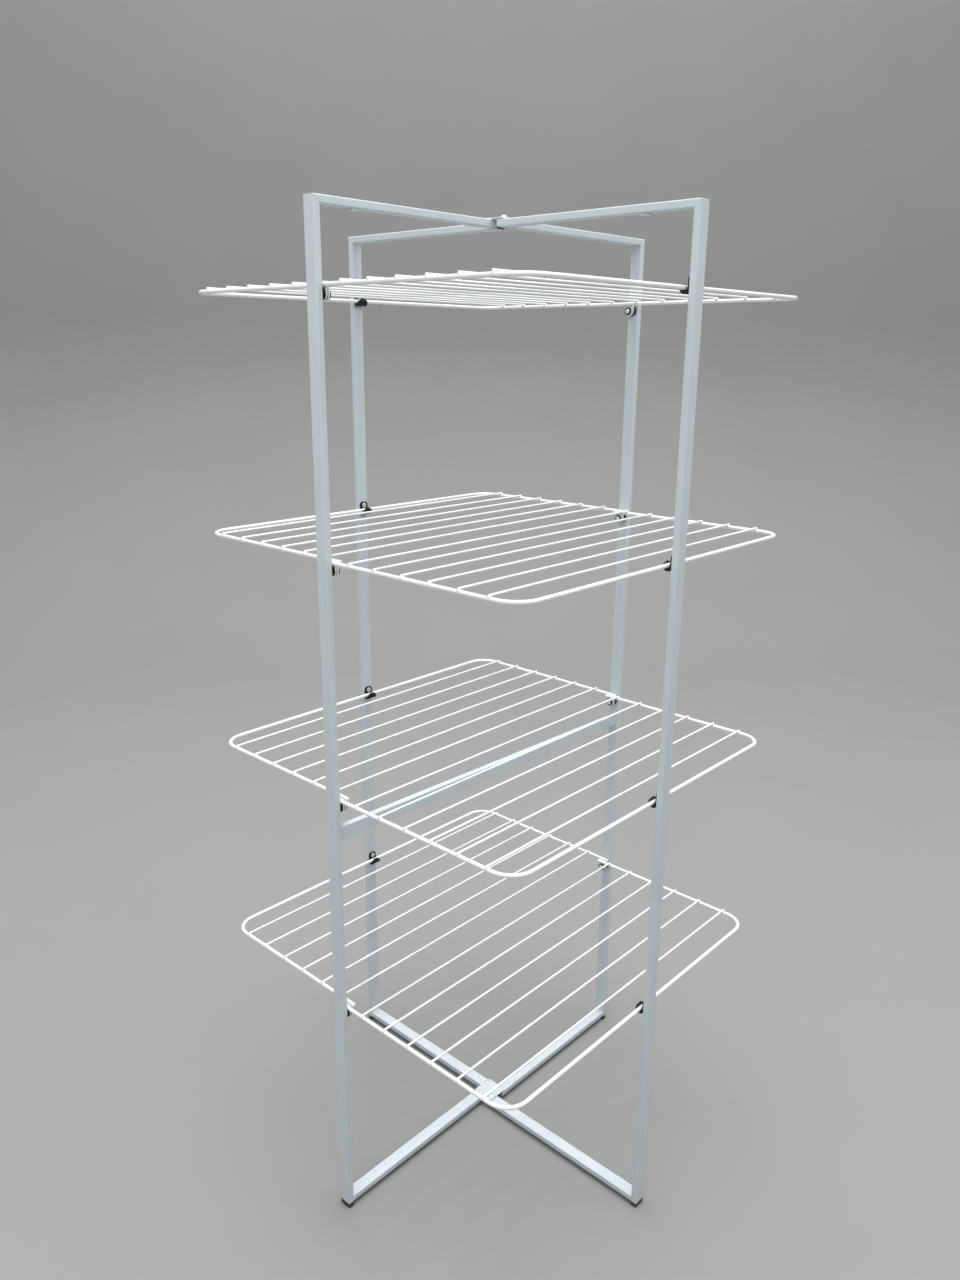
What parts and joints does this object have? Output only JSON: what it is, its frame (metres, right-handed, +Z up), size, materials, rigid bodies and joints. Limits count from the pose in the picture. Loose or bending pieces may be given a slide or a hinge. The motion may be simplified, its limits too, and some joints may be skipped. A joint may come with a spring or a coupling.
{
  "type": "clothes drying rack",
  "caption": "Free-standing folding clothes drying rack: a crossed steel-tube frame with hinged gates and tiers of wire half shelves that drop flat.",
  "frame": {"origin": "on the floor under the crossing of the four arms", "axes": "+X along the shelves' hinge lines, towards the right post; +Y towards the rear gate's post; +Z up"},
  "size_m": [0.672, 0.672, 1.505],
  "materials": {
    "painted_steel": "satin light blue-grey powder coat",
    "coated_wire": "slightly glossy white coating on steel wire",
    "black_plastic": "satin moulded black plastic",
    "rivet_metal": "plain bright rivet"
  },
  "bodies": {
    "main_frame": {"left_post": "painted_steel", "right_post": "painted_steel", "left_top_rail": "painted_steel", "right_top_rail": "painted_steel", "left_bottom_rail": "painted_steel", "right_bottom_rail": "painted_steel", "left_foot_cap": "black_plastic", "right_foot_cap": "black_plastic", "middle_brace": "painted_steel", "top_centre_plate": "painted_steel", "bottom_centre_plate": "painted_steel", "left_catch_tab": "painted_steel", "rear_gate_top_rivet": "rivet_metal", "rear_gate_bottom_rivet": "rivet_metal", "front_gate_top_rivet": "rivet_metal", "front_gate_bottom_rivet": "rivet_metal", "left_shelf_rivet_1": "rivet_metal", "left_shelf_rivet_2": "rivet_metal", "left_shelf_rivet_3": "rivet_metal", "left_shelf_rivet_4": "rivet_metal", "right_shelf_rivet_1": "rivet_metal", "right_shelf_rivet_2": "rivet_metal", "right_shelf_rivet_3": "rivet_metal", "right_shelf_rivet_4": "rivet_metal", "left_shelf_spacer_1": "black_plastic", "left_shelf_spacer_2": "black_plastic", "left_shelf_spacer_3": "black_plastic", "left_shelf_spacer_4": "black_plastic", "right_shelf_spacer_1": "black_plastic", "right_shelf_spacer_2": "black_plastic", "right_shelf_spacer_3": "black_plastic", "right_shelf_spacer_4": "black_plastic"},
    "rear_gate": {"rear_gate_post": "painted_steel", "rear_gate_top_rail": "painted_steel", "rear_gate_bottom_rail": "painted_steel", "rear_gate_foot_cap": "black_plastic", "rear_shelf_clip_1": "black_plastic", "rear_shelf_clip_2": "black_plastic", "rear_shelf_clip_3": "black_plastic", "rear_shelf_clip_4": "black_plastic"},
    "front_gate": {"front_gate_post": "painted_steel", "front_gate_top_rail": "painted_steel", "front_gate_bottom_rail": "painted_steel", "front_gate_foot_cap": "black_plastic", "front_gate_catch_tab": "painted_steel", "front_shelf_clip_1": "black_plastic", "front_shelf_clip_2": "black_plastic", "front_shelf_clip_3": "black_plastic", "front_shelf_clip_4": "black_plastic"},
    "rear_shelf_1": {"rear_half_shelf_1": "coated_wire"},
    "rear_shelf_2": {"rear_half_shelf_2": "coated_wire"},
    "rear_shelf_3": {"rear_half_shelf_3": "coated_wire"},
    "rear_shelf_4": {"rear_half_shelf_4": "coated_wire"},
    "front_shelf_1": {"front_half_shelf_1": "coated_wire"},
    "front_shelf_2": {"front_half_shelf_2": "coated_wire"},
    "front_shelf_3": {"front_half_shelf_3": "coated_wire"},
    "front_shelf_4": {"front_half_shelf_4": "coated_wire"}
  },
  "joints": [
    {"name": "rear_gate_swing", "type": "hinge", "parent": "main_frame", "child": "rear_gate", "pos_m": [0.00957, 0.0143, 0.75], "axis": [0, 0, 1], "range_deg": [-80, 0], "deforming": ["rear_shelf_clip_1", "rear_shelf_clip_2", "rear_shelf_clip_3", "rear_shelf_clip_4"]},
    {"name": "front_gate_swing", "type": "hinge", "parent": "main_frame", "child": "front_gate", "pos_m": [-0.00957, -0.0143, 0.75], "axis": [0, 0, 1], "range_deg": [-80, 0], "deforming": ["front_shelf_clip_1", "front_shelf_clip_2", "front_shelf_clip_3", "front_shelf_clip_4"]},
    {"name": "rear_shelf_1_fold", "type": "hinge", "parent": "main_frame", "child": "rear_shelf_1", "pos_m": [0, 0, 1.3875], "axis": [1, 0, 0], "range_deg": [-90, 0]},
    {"name": "rear_shelf_2_fold", "type": "hinge", "parent": "main_frame", "child": "rear_shelf_2", "pos_m": [0, 0, 1.04], "axis": [1, 0, 0], "range_deg": [-90, 0]},
    {"name": "rear_shelf_3_fold", "type": "hinge", "parent": "main_frame", "child": "rear_shelf_3", "pos_m": [0, 0, 0.6965], "axis": [1, 0, 0], "range_deg": [-90, 0]},
    {"name": "rear_shelf_4_fold", "type": "hinge", "parent": "main_frame", "child": "rear_shelf_4", "pos_m": [0, 0, 0.3545], "axis": [1, 0, 0], "range_deg": [-90, 0]},
    {"name": "front_shelf_1_fold", "type": "hinge", "parent": "main_frame", "child": "front_shelf_1", "pos_m": [0, 0, 1.3875], "axis": [1, 0, 0], "range_deg": [0, 90]},
    {"name": "front_shelf_2_fold", "type": "hinge", "parent": "main_frame", "child": "front_shelf_2", "pos_m": [0, 0, 1.04], "axis": [1, 0, 0], "range_deg": [0, 90]},
    {"name": "front_shelf_3_fold", "type": "hinge", "parent": "main_frame", "child": "front_shelf_3", "pos_m": [0, 0, 0.6965], "axis": [1, 0, 0], "range_deg": [0, 90]},
    {"name": "front_shelf_4_fold", "type": "hinge", "parent": "main_frame", "child": "front_shelf_4", "pos_m": [0, 0, 0.3545], "axis": [1, 0, 0], "range_deg": [0, 90]}
  ],
  "couplings": [
    {"joint": "rear_shelf_1_fold", "follows": "rear_gate_swing", "ratio": 1.125},
    {"joint": "rear_shelf_2_fold", "follows": "rear_gate_swing", "ratio": 1.125},
    {"joint": "rear_shelf_3_fold", "follows": "rear_gate_swing", "ratio": 1.125},
    {"joint": "rear_shelf_4_fold", "follows": "rear_gate_swing", "ratio": 1.125},
    {"joint": "front_shelf_1_fold", "follows": "front_gate_swing", "ratio": -1.125},
    {"joint": "front_shelf_2_fold", "follows": "front_gate_swing", "ratio": -1.125},
    {"joint": "front_shelf_3_fold", "follows": "front_gate_swing", "ratio": -1.125},
    {"joint": "front_shelf_4_fold", "follows": "front_gate_swing", "ratio": -1.125}
  ]
}
